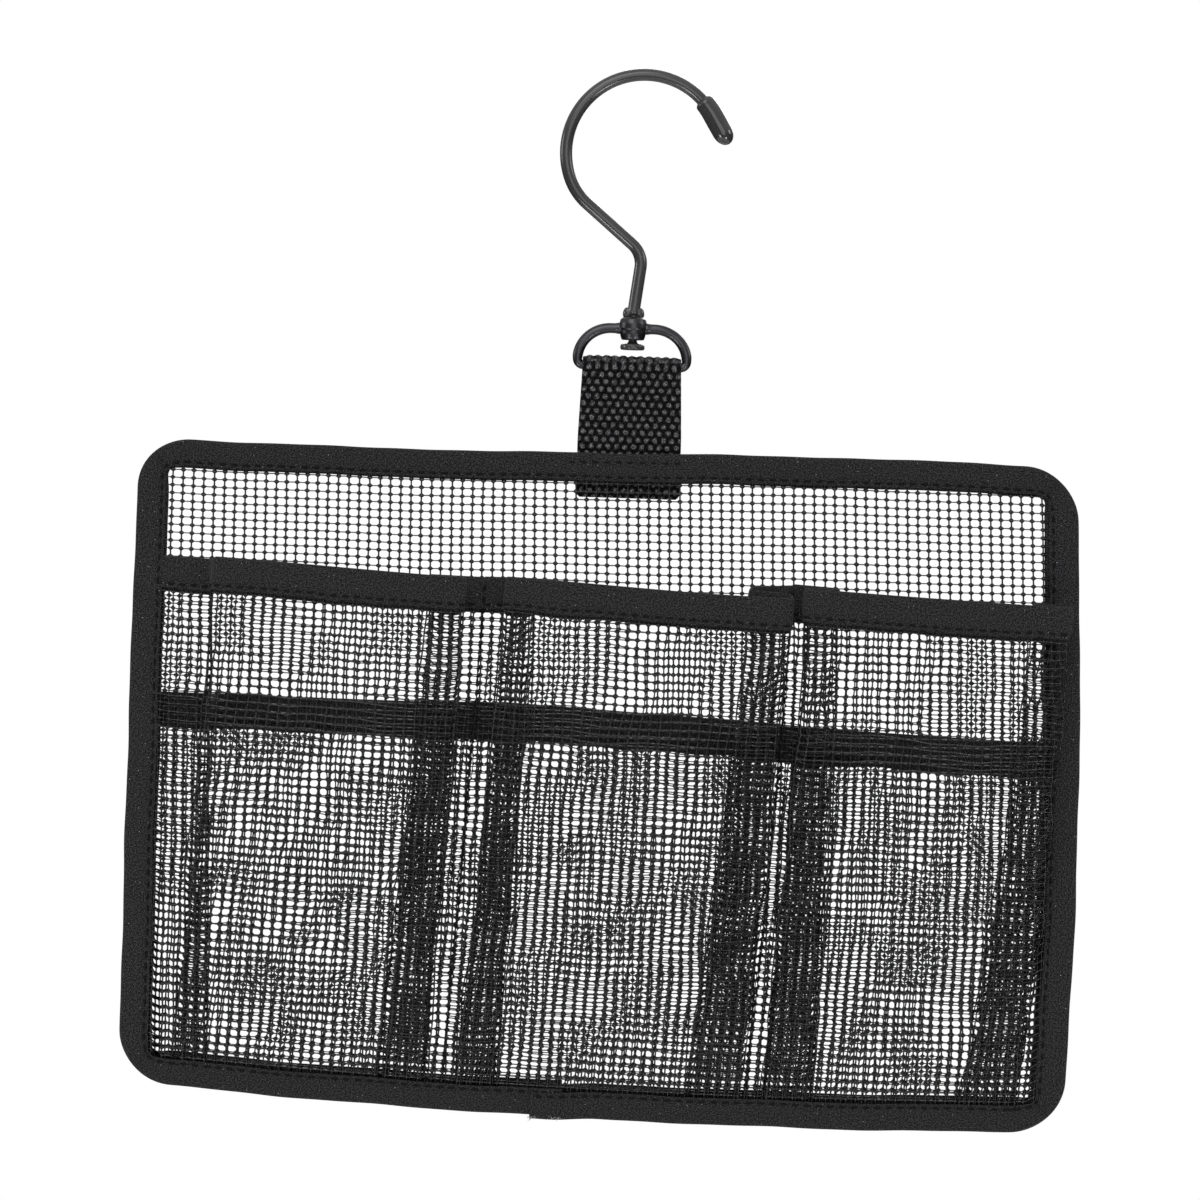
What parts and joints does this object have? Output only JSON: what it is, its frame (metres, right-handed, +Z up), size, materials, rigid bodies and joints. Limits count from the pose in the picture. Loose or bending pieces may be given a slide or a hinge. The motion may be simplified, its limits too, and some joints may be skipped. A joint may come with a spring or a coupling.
{
  "type": "mesh shower caddy",
  "caption": "Hanging net caddy with pleated pockets on both faces, sewn to a webbing loop that hangs from a swivel D-ring and a bent wire hook.",
  "frame": {"origin": "inner top of the hook, where the rail that carries the caddy sits", "axes": "+Z up, along the height of the hanging caddy; +X right as seen from the front; the face with the taller pockets looks along -Y"},
  "size_m": [0.2932, 0.0308, 0.3242],
  "materials": {
    "hook_steel": "semi-gloss black coating on bent steel wire",
    "tip_vinyl": "glossy soft vinyl",
    "ring_metal": "dark plating on a casting, worn to a soft sheen",
    "webbing": "ribbed polypropylene webbing",
    "coated_net": "vinyl-coated polyester net, semi-gloss",
    "tape": "matte plain-woven binding tape"
  },
  "bodies": {
    "hook": {"hook_wire": "hook_steel", "hook_tip_cap": "tip_vinyl"},
    "ring": {"d_ring": "ring_metal"},
    "panel": {"webbing_loop": "webbing", "back_net": "coated_net", "edge_binding": "tape", "front_pocket_net_left": "coated_net", "front_pocket_net_centre": "coated_net", "front_pocket_net_right": "coated_net", "back_pocket_net_left": "coated_net", "back_pocket_net_centre": "coated_net", "back_pocket_net_right": "coated_net", "front_hem_left": "tape", "front_hem_centre": "tape", "front_hem_right": "tape", "back_hem_left": "tape", "back_hem_centre": "tape", "back_hem_right": "tape"}
  },
  "joints": [
    {"name": "hook_swivel", "type": "hinge", "parent": "hook", "child": "ring", "pos_m": [-0.0017, 0, -0.07632], "axis": [0, 0, 1], "continuous": true},
    {"name": "panel_swing", "type": "hinge", "parent": "ring", "child": "panel", "pos_m": [-0.0017, 0, -0.08792], "axis": [1, 0, 0], "range_deg": [-105, 105]}
  ]
}
